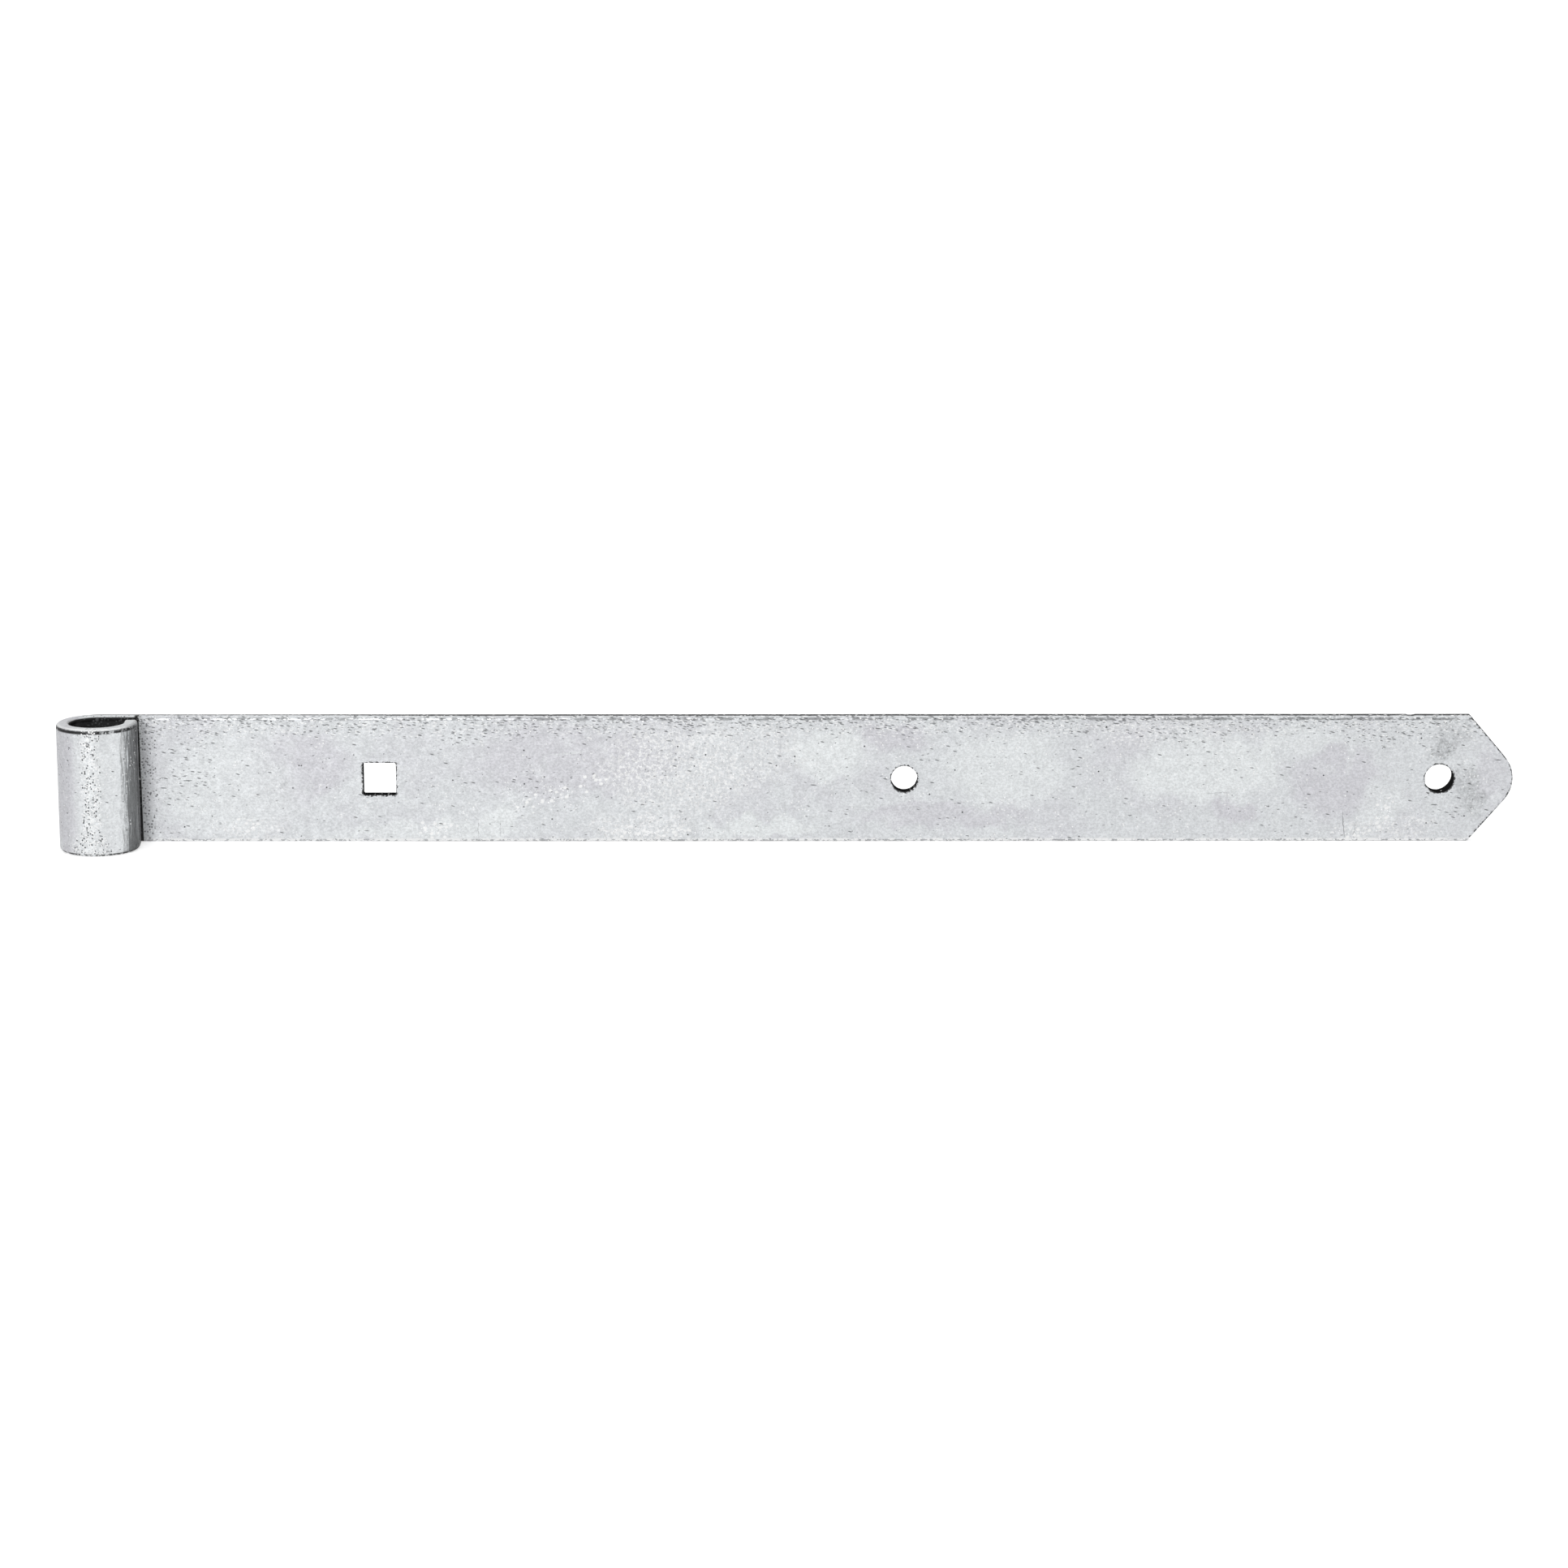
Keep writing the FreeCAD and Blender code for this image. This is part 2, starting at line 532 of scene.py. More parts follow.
@dataclass
class Blank:
    """The bar laid out flat.

    u runs along the bar from where the strap leaves the eye, z across it, and n through it, from the front
    face to the back face. All lengths are in millimetres.
    """

    half_width: float
    thickness: float
    strap_length: float
    wrap_length: float
    holes: list[Hole]
    lip_length: float
    lip_corner_radius: float = 0.6
    nose_radius: float = 10.5
    crop_angle: float = math.radians(49.6)
    fine_spacing: float = 0.8
    coarse_spacing: float = 1.7
    ridge_spacing: float = 0.2
    rim_margin: float = 0.6
    wall_rows: int = 5
    wall_roughness: float = 0.10
    ridges: list[Ridge] = field(default_factory=list)
    nicks: list[Nick] = field(default_factory=list)
    seed: int = 11

    @property
    def start(self) -> float:
        """The u of the lip's cut end."""
        return -self.wrap_length - self.lip_length

    @property
    def nose_centre(self) -> float:
        """The u of the nose's centre."""
        return self.strap_length - self.nose_radius

    @property
    def apex(self) -> float:
        """The u where the two slanted cuts would meet."""
        return self.nose_centre + self.nose_radius / math.sin(self.crop_angle)

    def crop_depth(self, u: float, z: float) -> float:
        """Return how far inside the cropped tip a point lies."""
        over_u, over_z = u - self.nose_centre, abs(z)
        if over_u > 0 and math.atan2(over_z, over_u) < QUARTER - self.crop_angle:
            return self.nose_radius - math.hypot(over_u, over_z)
        return (self.apex - u) * math.sin(self.crop_angle) - over_z * math.cos(self.crop_angle)

    def hole_depth(self, u: float, z: float) -> float:
        """Return how far a point lies from the nearest hole."""
        return min(hole.clearance(u, z) for hole in self.holes)

    def cut_depth(self, u: float, z: float) -> float:
        """Return how far a point lies from the nearest hole or the cropped tip."""
        return min(self.crop_depth(u, z), self.hole_depth(u, z))

    def drop(self, u: float, z: float, side: Side) -> float:
        """Return how far the face falls away at a point, through the rounding of the edges near it."""
        depths = {
            EdgeKind.ROLLED: self.half_width - abs(z),
            EdgeKind.CROPPED: self.crop_depth(u, z),
            EdgeKind.PUNCHED: self.hole_depth(u, z),
            EdgeKind.LIP: u - self.start,
        }
        deepest = 0.0
        for kind, depth in depths.items():
            radius = EDGE_FORMS[kind].radius(side)
            if depth < radius:
                left = radius - max(depth, 0.0)
                deepest = max(deepest, radius - math.sqrt(max(radius * radius - left * left, 0.0)))
        return deepest

    def height(self, u: float, z: float, side: Side) -> float:
        """Return n of a face at a point of the blank."""
        lift = sum(ridge.lift(u, z) for ridge in self.ridges if ridge.side is side)
        return side.value * (self.thickness / 2 - self.drop(u, z, side) + lift)

    def burred(self, u: float, z: float, side: Side) -> tuple[float, float]:
        """Return a point of a face, drawn into a hole where a burr at the back stands in it."""
        for hole in self.holes:
            if side is Side.BACK and hole.burr > 0 and hole.clearance(u, z) < 8 * hole.burr_reach:
                return hole.burred(u, z)
        return u, z

    def line(self, start: tuple[float, float], end: tuple[float, float], kind: EdgeKind) -> list[RimPoint]:
        """Return the rim's points along a straight edge, its end left out.

        Args:
            start: u and z of the first point.
            end: u and z of the end, which the next edge starts with.
            kind: the kind of edge.

        Returns:
            Rim points with the steel on the left of the way along them.
        """
        length = math.dist(start, end)
        steps = max(1, round(length / EDGE_FORMS[kind].spacing))
        out_u, out_z = (end[1] - start[1]) / length, (start[0] - end[0]) / length
        shares = [step / steps for step in range(steps)]
        if kind is EdgeKind.ROLLED:
            for nick in self.nicks:
                if nick.upper is (start[1] > 0):
                    middle = (nick.u - start[0]) / (end[0] - start[0])
                    shares += [middle + (step * 0.17 + 0.01) / length for step in range(-10, 11)]
        points = []
        for share in sorted(shares):
            u = start[0] + (end[0] - start[0]) * share
            z = start[1] + (end[1] - start[1]) * share
            points.append(RimPoint(u, z, out_u, out_z, kind))
        return points

    def arc(
        self, centre: tuple[float, float], radius: float, start: float, end: float, kind: EdgeKind
    ) -> list[RimPoint]:
        """Return the rim's points along an outward bulging arc, its end left out.

        Args:
            centre: u and z of the arc's centre.
            radius: the arc's radius.
            start: the angle of the first point.
            end: the angle at which the next edge starts.
            kind: the kind of edge.

        Returns:
            Rim points with the steel on the left of the way along them.
        """
        steps = max(3, round(radius * (end - start) / EDGE_FORMS[kind].spacing))
        points = []
        for step in range(steps):
            angle = start + (end - start) * step / steps
            out_u, out_z = math.cos(angle), math.sin(angle)
            u, z = centre[0] + out_u * radius, centre[1] + out_z * radius
            points.append(RimPoint(u, z, out_u, out_z, kind))
        return points

    def outline(self) -> list[RimPoint]:
        """Return the blank's outer rim, anticlockwise from the strap's lower edge at the lip."""
        edge = self.half_width
        corner_u = self.apex - edge / math.tan(self.crop_angle)
        nose_turn = QUARTER - self.crop_angle
        touch_u = self.nose_centre + self.nose_radius * math.cos(nose_turn)
        touch_z = self.nose_radius * math.sin(nose_turn)
        corner_radius = self.lip_corner_radius
        lip_u, lip_z = self.start + corner_radius, edge - corner_radius
        return (
            self.line((lip_u, -edge), (corner_u, -edge), EdgeKind.ROLLED)
            + self.line((corner_u, -edge), (touch_u, -touch_z), EdgeKind.CROPPED)
            + self.arc((self.nose_centre, 0.0), self.nose_radius, -nose_turn, nose_turn, EdgeKind.CROPPED)
            + self.line((touch_u, touch_z), (corner_u, edge), EdgeKind.CROPPED)
            + self.line((corner_u, edge), (lip_u, edge), EdgeKind.ROLLED)
            + self.arc((lip_u, lip_z), corner_radius, QUARTER, 2 * QUARTER, EdgeKind.LIP)
            + self.line((self.start, lip_z), (self.start, -lip_z), EdgeKind.LIP)
            + self.arc((lip_u, -lip_z), corner_radius, 2 * QUARTER, 3 * QUARTER, EdgeKind.LIP)
        )

    def ragged(self, point: RimPoint, depth: float) -> tuple[float, float]:
        """Return a point set in from the rim, with the edge's raggedness, which fades into the face."""
        uneven = 0.5 + 0.5 * noise.fractal(Vector((point.u, point.z, 3.0)) * 1.3, 1.0, 2.0, 3)
        raggedness = EDGE_FORMS[point.kind].raggedness * min(max(uneven, 0.0), 1.0)
        inset = depth + raggedness * math.exp(-depth / 0.5)
        return point.u - point.out_u * inset, point.z - point.out_z * inset

    def inner_rows(self, rim: list[RimPoint]) -> list[tuple[float, float]]:
        """Return the rows of points inside a rim that carry its rounding.

        Args:
            rim: the rim's points.

        Returns:
            u and z of each point that no other edge's rounding reaches.
        """
        points = []
        for point in rim:
            for depth in EDGE_FORMS[point.kind].depths()[1:]:
                u, z = self.ragged(point, depth)
                others = []
                if point.kind is not EdgeKind.CROPPED:
                    others.append(self.crop_depth(u, z) - 0.55)
                if point.kind is not EdgeKind.ROLLED:
                    others.append(self.half_width - abs(z) - 0.02)
                if point.kind is EdgeKind.ROLLED:
                    others.append(u - self.start - 0.8)
                if min(others) > 0:
                    points.append((u, z))
        return points

    def is_fine(self, u: float, side: Side) -> bool:
        """Return whether a face is finely meshed at u: the strap's front and the eye's outer side are."""
        return u > -4.0 if side is Side.FRONT else u < 12.0

    def grid(self, side: Side) -> list[tuple[float, float]]:
        """Return the points of a face away from its edges, on a slightly uneven three-way grid.

        Args:
            side: which face.

        Returns:
            u and z of each point.
        """
        rng = random.Random(self.seed + side.value)
        ridges = [ridge for ridge in self.ridges if ridge.side is side]
        points = []
        for fine, step in ((True, self.fine_spacing), (False, self.coarse_spacing)):
            row_gap = step * math.sqrt(3.0) / 2
            rows = int((self.half_width - 1.5) / row_gap)
            for row in range(-rows, rows + 1):
                z = row * row_gap
                u = self.start + 0.9 + (row % 2) * step / 2
                while u < self.strap_length:
                    place = (u + rng.uniform(-0.12, 0.12) * step, z + rng.uniform(-0.12, 0.12) * step)
                    on_ridge = any(ridge.reaches(*place, 0.3) for ridge in ridges)
                    clear = self.cut_depth(*place) > self.rim_margin and not on_ridge
                    if clear and self.is_fine(u, side) is fine:
                        points.append(place)
                    u += step
        for ridge in ridges:
            near = ridge.points(self.ridge_spacing)
            points += [place for place in near if self.hole_depth(*place) > self.rim_margin]
        return points

    def build(self, name: str) -> bpy.types.Object:
        """Build the blank as a closed mesh of two faces and the walls between them.

        Args:
            name: the object's name.

        Returns:
            An object in metres whose mesh has u, n and z along its X, Y and Z, a face attribute that marks
            the sheared walls and a point attribute with the depth from the cut rims.
        """
        rims = [self.outline()] + [hole.rim(EDGE_FORMS[EdgeKind.PUNCHED].spacing) for hole in self.holes]
        shape = bmesh.new()
        sheared = shape.faces.layers.float.new("sheared")
        rim_depth = shape.verts.layers.float.new("rim_depth")
        front, back = (self.build_face(shape, rims, side) for side in Side)
        for rim, near, far in zip(rims, front, back):
            self.build_wall(shape, rim, near, far, sheared)
        bmesh.ops.remove_doubles(shape, verts=shape.verts, dist=1e-7)
        bmesh.ops.recalc_face_normals(shape, faces=shape.faces)
        for face in shape.faces:
            face.smooth = True
        for vert in shape.verts:
            u, z = vert.co.x / MM, vert.co.z / MM
            vert[rim_depth] = min(max(min(self.cut_depth(u, z), u - self.start), 0.0), 4.0)
        mesh = bpy.data.meshes.new(name)
        shape.to_mesh(mesh)
        shape.free()
        return put(name, mesh)

    def build_face(
        self, shape: bmesh.types.BMesh, rims: list[list[RimPoint]], side: Side
    ) -> list[list[bmesh.types.BMVert]]:
        """Build one face of the bar.

        Args:
            shape: the mesh to add to.
            rims: the outer rim and the holes' rims.
            side: which face.

        Returns:
            The vertices on each rim, in the rim's order.
        """
        places = []
        links = []
        counts = []
        for rim in rims:
            first = len(places)
            places += [self.ragged(point, 0.0) for point in rim]
            links += [(first + step, first + (step + 1) % len(rim)) for step in range(len(rim))]
            counts.append((first, len(rim)))
        for rim in rims:
            places += self.inner_rows(rim)
        places += self.grid(side)
        flat = [Vector(place) for place in places]
        made, _, triangles, origins, _, _ = delaunay_2d_cdt(flat, links, [], 0, 1e-5, True)
        verts = []
        for place in made:
            n = self.height(place.x, place.y, side)
            u, z = self.burred(place.x, place.y, side)
            z -= math.copysign(sum(nick.bite(place.x, place.y) for nick in self.nicks), place.y)
            verts.append(shape.verts.new((u * MM, n * MM, z * MM)))
        for triangle in triangles:
            centre_u = sum(made[index].x for index in triangle) / 3
            centre_z = sum(made[index].y for index in triangle) / 3
            in_bar = centre_u > self.start and abs(centre_z) < self.half_width
            if in_bar and self.cut_depth(centre_u, centre_z) > 0:
                shape.faces.new([verts[index] for index in triangle])
        by_place = {}
        for index, sources in enumerate(origins):
            for source in sources:
                by_place[source] = verts[index]
        return [[by_place[first + step] for step in range(count)] for first, count in counts]

    def build_wall(
        self,
        shape: bmesh.types.BMesh,
        rim: list[RimPoint],
        front: list[bmesh.types.BMVert],
        back: list[bmesh.types.BMVert],
        sheared: bmesh.types.BMLayerItem,
    ) -> None:
        """Join the two faces along a rim by a wall, rough where the steel was sheared.

        Args:
            shape: the mesh to add to.
            rim: the rim's points.
            front: the front face's vertices on the rim.
            back: the back face's vertices on the rim.
            sheared: the face attribute that marks sheared steel.
        """
        columns = []
        for point, near, far in zip(rim, front, back):
            column = [near]
            for row in range(1, self.wall_rows):
                share = row / self.wall_rows
                place = near.co.lerp(far.co, share)
                if point.kind is not EdgeKind.ROLLED:
                    torn = noise.noise(Vector((place.x, place.y * 0.4, place.z)) / MM * 1.6)
                    inset = self.wall_roughness * max(torn + 0.3, 0.0) * math.sin(math.pi * share) * MM
                    place = place - Vector((point.out_u, 0.0, point.out_z)) * inset
                column.append(shape.verts.new(place))
            columns.append(column + [far])
        for step, column in enumerate(columns):
            following = columns[(step + 1) % len(columns)]
            for row in range(self.wall_rows):
                face = shape.faces.new([column[row], following[row], following[row + 1], column[row + 1]])
                face[sheared] = WALL_MARKS[rim[step].kind]


@dataclass(frozen=True)
class Patch:
    """A soft-edged patch of the zinc, by its place on the strap and its half sizes, in millimetres."""

    x: float
    z: float
    half_x: float
    half_z: float
    slant: float = 0.0
    amount: float = 1.0


PALE_PATCHES = (
    Patch(123, -14, 7, 5),
    Patch(205, -15.5, 18, 3.6, 0.05),
    Patch(225, 8, 12, 8.5),
    Patch(280, 3, 19, 12, -0.1, 0.8),
    Patch(342, 2, 24, 9.5, 0.05),
    Patch(362.5, 6, 2.2, 9, 0.15),
    Patch(40, -3, 22, 14, 0, 0.5),
    Patch(100, -17, 32, 3.2, 0, 0.7),
    Patch(372, 12.5, 14, 3.5, 0, 0.6),
    Patch(398, -8, 9, 7, 0.3, 0.5),
)
LILAC_PATCHES = (
    # This tall band on the eye's left side is a painted darker reflection.
    Patch(-9, 0, 5, 60, 0, 0.85),
    Patch(60, 3, 18, 11, 0.2),
    Patch(143, 6, 34, 12, 0, 0.9),
    Patch(262, -11.5, 30, 4, 0, 0.9),
    Patch(244, 13, 12, 5),
    Patch(352, -11, 9, 4),
    Patch(383, -1, 13, 13, 0.3),
    Patch(318, 8, 8, 10, 0.2, 0.7),
    Patch(431, 2, 5, 8, 0, 0.7),
)
DARK_PATCHES = (
    Patch(415.5, 9.5, 3.6, 4, -0.4, 0.9),
    Patch(424, -4, 4.5, 8, 0.3, 0.7),
    Patch(418, 13.5, 7, 3, 0, 0.5),
    Patch(57, -1, 2, 1.2, 0.1, 0.5),
)
FROST_PATCHES = (
    Patch(180, 3, 26, 14),
    Patch(168, -15, 18, 4.5),
    Patch(206, 8, 14, 10, 0, 0.7),
    Patch(330, 15, 26, 5, 0, 0.6),
    Patch(400, -16, 14, 3, 0, 0.8),
    Patch(47, -16, 12, 3, 0, 0.7),
)
DASH_PATCHES = (
    Patch(25, 3, 10, 11, 0, 0.5),
    Patch(31, 16, 13, 4.5),
    Patch(58, 17, 14, 3, 0, 0.8),
    Patch(124, 16.5, 24, 4),
    Patch(180, 18, 30, 2, 0, 0.7),
    Patch(335, 15.5, 18, 4.5),
    Patch(394, 15, 15, 5),
    Patch(422, -4, 6, 10, 0, 0.35),
    Patch(414, 11, 7, 5, 0, 0.5),
    Patch(136, -2, 12, 5, 0, 0.35),
)
SPARKLE_PATCHES = (
    Patch(44.5, -15, 5.5, 3),
    Patch(136, -6.5, 13, 2.6, 0.38),
    Patch(150, -1, 8, 3, 0.1, 0.8),
    Patch(170, -17.4, 14, 2.2, 0.05),
    Patch(104, -16, 8, 3, 0, 0.7),
    Patch(398, -11, 3, 6, -0.2),
    Patch(388, -17, 8, 1.8),
)
SCRATCHES = (
    Patch(385.4, -14.6, 0.16, 4.6, 0.10, 0.55),
    Patch(388.8, -16.8, 0.13, 3, -0.12, 0.5),
    Patch(372, -3, 0.10, 3, 0.5, 0.3),
    Patch(116.5, -15.8, 0.11, 2.6, 0, 0.35),
    Patch(123.3, -15.8, 0.11, 2.6, 0, 0.35),
    Patch(346, -4.5, 4, 0.12, 0.05, 0.3),
    Patch(26.5, -0.4, 1.4, 0.22, 0.1, 0.8),
    Patch(25.5, 1, 0.9, 0.18, 0.1, 0.7),
    Patch(319, -11.5, 0.6, 0.25, 0.2, 0.7),
    Patch(301, 3.2, 0.9, 0.2, 0.2, 0.6),
    Patch(-0.9, 14.9, 0.65, 0.75, 0.3, 0.9),
    Patch(-0.9, 18.9, 0.6, 0.5, 0, 0.8),
)
BRIGHT_STREAKS = (
    Patch(144.5, 8.2, 6.5, 0.40, 0.10, 0.5),
    Patch(77, 12, 5, 0.35, -0.2, 0.4),
    Patch(360.5, 4, 0.8, 8, 0.12, 0.4),
    Patch(387.5, 9, 1.3, 9, -0.15, 0.35),
)


@dataclass(frozen=True)
class ZincFinish:
    """Dull hot-dip zinc: cloudy, finely pitted, with darker dashes along the upper edge."""

    name: str = "hot_dip_zinc"
    pale: tuple[float, float, float, float] = (0.880, 0.908, 0.918, 1.0)
    plain: tuple[float, float, float, float] = (0.800, 0.822, 0.842, 1.0)
    lilac: tuple[float, float, float, float] = (0.738, 0.738, 0.776, 1.0)
    frost: tuple[float, float, float, float] = (0.975, 0.98, 0.985, 1.0)
    pit: tuple[float, float, float, float] = (0.09, 0.092, 0.096, 1.0)
    speck_and_highlight: tuple[float, float, float, float] = (0.98, 0.985, 0.985, 1.0)
    metallic: float = 0.85
    roughness: float = 0.33
    tone: float = 1.0
    grain_depth: float = 0.15
    gloss: float = 0.25
    has_patches: bool = True
    has_rims: bool = True

    def build(self) -> bpy.types.Material:
        """Build the material."""
        material, write = new_material(self.name)
        ZincPainter(self, write).paint()
        return material


class ZincPainter:
    """Writes the nodes of a zinc finish, place by place on the band. Lengths are in millimetres."""

    def __init__(self, finish: ZincFinish, write: TreeWriter) -> None:
        """Find the place that is shaded, and whether it lies in two parts of the band.

        The glance is the eye's lit front, where painted glints crowd. The crease, beside the eye, takes
        painted shade.

        Args:
            finish: the finish to paint.
            write: the writer of the material's tree.
        """
        self.finish = finish
        self.write = write
        self.at = write.in_millimetres(write.socket("ShaderNodeTexCoord", output="Object"))
        self.x, self.y, self.z = write.parts(self.at)
        self.turn = write.math("ARCTAN2", self.x, -self.y)
        spread = self.z.ramp(-11.0, -18.0, 1.0, 2.2)
        off = abs(self.turn + 0.05) / spread
        self.glance = off.ramp(0.30, 0.17) * self.y.ramp(-9.0, -10.0)
        reach = self.x + write.noise(self.at, 0.5, 3.0, 0.7).ramp(0.3, 0.7, -1.0, 1.0)
        self.crease = reach.ramp(18.0, 14.0) * self.y.ramp(7.6, 8.0) * self.y.ramp(10.0, 9.0)

    def paint(self) -> None:
        """Write the whole finish, from its colour to its shader."""
        write, finish, at = self.write, self.finish, self.at
        mottle = write.noise(at, 0.55, 4.0, 0.7)
        grain = write.noise(write.stretch(at, (1.2, 1.0, 0.9)), 1.35, 3.0, 0.8)
        # Painted shade inside the bore and in the gap behind the lip.
        painted_hollow_shade = self.painted_hollow_shade()
        tone = mottle.ramp(0.34, 0.66, 1.0 - finish.grain_depth * 0.35, 1.0 + finish.grain_depth * 0.2)
        tone = tone * grain.ramp(0.36, 0.64, 1.0 - finish.grain_depth, 1.06)
        tone = tone * painted_hollow_shade * self.painted_eye_shade() * self.painted_edge_shade_lines_and_stains() * finish.tone
        marks = self.dark_marks()
        grey = write.socket("ShaderNodeCombineColor", {0: tone, 1: tone, 2: tone})
        colour = write.mix(1.0, self.clouds(), grey, "MULTIPLY")
        colour = write.mix(marks, colour, finish.pit)
        colour = write.mix(self.bright_marks_and_highlights() * painted_hollow_shade, colour, finish.speck_and_highlight)

        rough = mottle.ramp(0.3, 0.7, finish.roughness - 0.06, finish.roughness + 0.07)
        rough = rough + write.most(marks, self.crease) * 0.28
        relief = mottle * 0.06 + grain * 0.045 - write.spots(at, 0.95, 0.24, 0.2) * 0.08
        inputs = {"Strength": 0.9, "Distance": MM, "Height": relief}
        metallic = tone.ramp(0.12, 0.50) * self.crease.ramp(0.0, 1.0, finish.metallic, 0.10)
        shader = {
            "Base Color": colour,
            "Metallic": metallic,
            "Roughness": rough,
            "Specular IOR Level": finish.gloss,
            "Normal": write.socket("ShaderNodeBump", inputs),
        }
        write.end("ShaderNodeOutputMaterial", write.socket("ShaderNodeBsdfPrincipled", shader))

    def clouds(self) -> bpy.types.NodeSocket:
        """Return the zinc's colour, with its soft pale and lilac clouds and its frosted patches."""
        write, finish, at = self.write, self.finish, self.at
        lilac = write.noise(at, 0.045, 4.0, 0.6).ramp(0.56, 0.40, 0.0, 0.45)
        pale = write.noise(at, 0.13, 4.0, 0.65).ramp(0.52, 0.68, 0.0, 0.35)
        if not finish.has_patches:
            return write.mix(pale, write.mix(lilac, finish.plain, finish.lilac), finish.pale)
        bent = write.warped(write.warped(at, 0.11, 7.0), 0.55, 1.6)
        # The eye's front and right are painted paler: painted light where the eye catches it.
        on_eye = self.x.ramp(13.2, 12.2, 0.0, 0.50) * self.x.ramp(-7.0, -4.0)
        pale_patch = write.most(write.patches(bent, PALE_PATCHES), on_eye)
        lilac = write.most(lilac, write.patches(bent, LILAC_PATCHES)) * (1.0 - pale_patch)
        pale = write.most(pale, pale_patch, write.patches(write.warped(at, 0.8, 0.5), BRIGHT_STREAKS))
        colour = write.mix(pale, write.mix(lilac, finish.plain, finish.lilac), finish.pale)
        crystals = write.noise(at, 0.95, 3.0, 0.7).ramp(0.50, 0.56)
        return write.mix(crystals * write.patches(bent, FROST_PATCHES) * 0.85, colour, finish.frost)

    def painted_hollow_shade(self) -> Number:
        """Return the painted shade inside the bore and behind the lip, 1 where none is painted."""
        x, y, z = self.x, self.y, self.z
        in_bore = self.write.math("SQRT", x * x + y * y).ramp(9.3, 9.0)
        in_gap = x.ramp(-0.2, 0.0) * x.ramp(11.8, 11.2) * y.ramp(3.0, 3.4) * y.ramp(9.1, 8.8)
        lip = x.ramp(6.4, 7.4) * y.ramp(-1.0, 0.5) * y.ramp(4.4, 4.0)
        from_end = 20.0 - abs(z) - lip * 1.1
        return 1.0 - self.write.most(in_bore, in_gap) * from_end.ramp(0.2, 0.6) * 0.975

    def painted_eye_shade(self) -> Number:
        """Return the painted shade on the eye's far side and in the crease beside it, 1 where none is painted.
        """
        write, x, y, z = self.write, self.x, self.y, self.z
        # A painted dark reflection streaks down the eye's far side, with a painted black shade line at its
        # edge beside the gap.
        streak = write.noise(write.stretch(self.at, (1.0, 1.0, 9.0)), 1.1, 4.0, 0.75)
        patchy = write.noise(self.at, 1.3, 3.0, 0.8)
        wavering = self.turn + streak.ramp(0.32, 0.68, -0.20, 0.20)
        far_side = wavering.ramp(0.74, 1.12) * streak.ramp(0.34, 0.64, 0.94, 0.72)
        far_side = far_side * wavering.ramp(2.05, 1.75, 0.15, 1.0)
        lean = self.turn + z * 0.004 + patchy.ramp(0.3, 0.7, -0.07, 0.07)
        edge = lean.ramp(1.34, 1.45, 0.0, 0.985) * wavering.ramp(1.96, 1.66)
        on_eye = x.ramp(14.0, 12.6) * y.ramp(7.2, 6.4) * z.ramp(19.2, 18.8)

        # Painted shade on the strap beside the eye, darkest in the corner against it.
        reach = x + patchy.ramp(0.3, 0.7, -1.8, 1.8)
        soft = reach.ramp(11.6, 15.8, 0.44, 0.0) * patchy.ramp(0.42, 0.56, 0.30, 1.0)
        dark = (x + z * 0.012).ramp(12.25, 12.00, 0.0, 0.985)
        in_crease = y.ramp(10.5, 9.5) * y.ramp(7.6, 8.0) * x.ramp(10.0, 11.0)
        return 1.0 - write.most(write.most(far_side, edge) * on_eye, write.most(soft, dark) * in_crease)

    def painted_edge_shade_lines_and_stains(self) -> Number:
        """Return the painted shade along rims and upper edges, dark lines on the eye's ends, and stains, 1
        where none.
        """
        write, x, y, z = self.write, self.x, self.y, self.z
        patchy = write.noise(self.at, 1.3, 3.0, 0.75)
        # The rounded rims of the holes and cut edges get a ragged painted shade outline.
        rim = {"attribute_name": "rim_depth", "attribute_type": "GEOMETRY"}
        ragged = write.number("ShaderNodeAttribute", output="Fac", **rim) + patchy.ramp(0.3, 0.7, -0.32, 0.42)
        shade = ragged.ramp(0.18, 0.46, 0.08, 1.0) if self.finish.has_rims else 1.0

        # Painted shade: a dark line along the front of the upper edge and a darkening along the back edges,
        # broken up by noise.
        shade_line_breaks = write.noise(write.stretch(self.at, (2.4, 1.0, 1.0)), 0.8, 3.0, 0.7)
        shade = shade * (1.0 - z.band(19.0, 0.62) * shade_line_breaks.ramp(0.40, 0.56) * 0.56)
        back = y + x.ramp(40.0, 110.0, -0.9, 0.4)
        rear = back.ramp(9.2, 9.7) * abs(z).ramp(19.3, 19.7) * shade_line_breaks.ramp(0.3, 0.5, 0.86, 0.98)
        shade = shade * (1.0 - rear)
        flaky = write.noise(self.at, 0.7, 3.0, 0.7)
        whole = x.ramp(1.0, 4.5, 0.14, 0.0)
        ring = z.band(18.85, 0.72) * (flaky + whole).ramp(0.42, 0.50, 0.20, 0.97)
        foot = z.band(-19.50, 0.55) * flaky.ramp(0.40, 0.48, 0.0, 0.92)
        dashed = z.band(-19.55, 0.50) * flaky.ramp(0.52, 0.46) * x.ramp(12.0, 13.0) * 0.45
        shade = shade * (1.0 - write.most(write.most(ring, foot) * x.ramp(12.6, 11.8), dashed))
        if self.finish.has_patches:
            dark = write.patches(write.warped(self.at, 0.3, 4.0), DARK_PATCHES)
            shade = shade * (1.0 - dark * patchy.ramp(0.38, 0.62, 0.06, 0.42))
        return shade

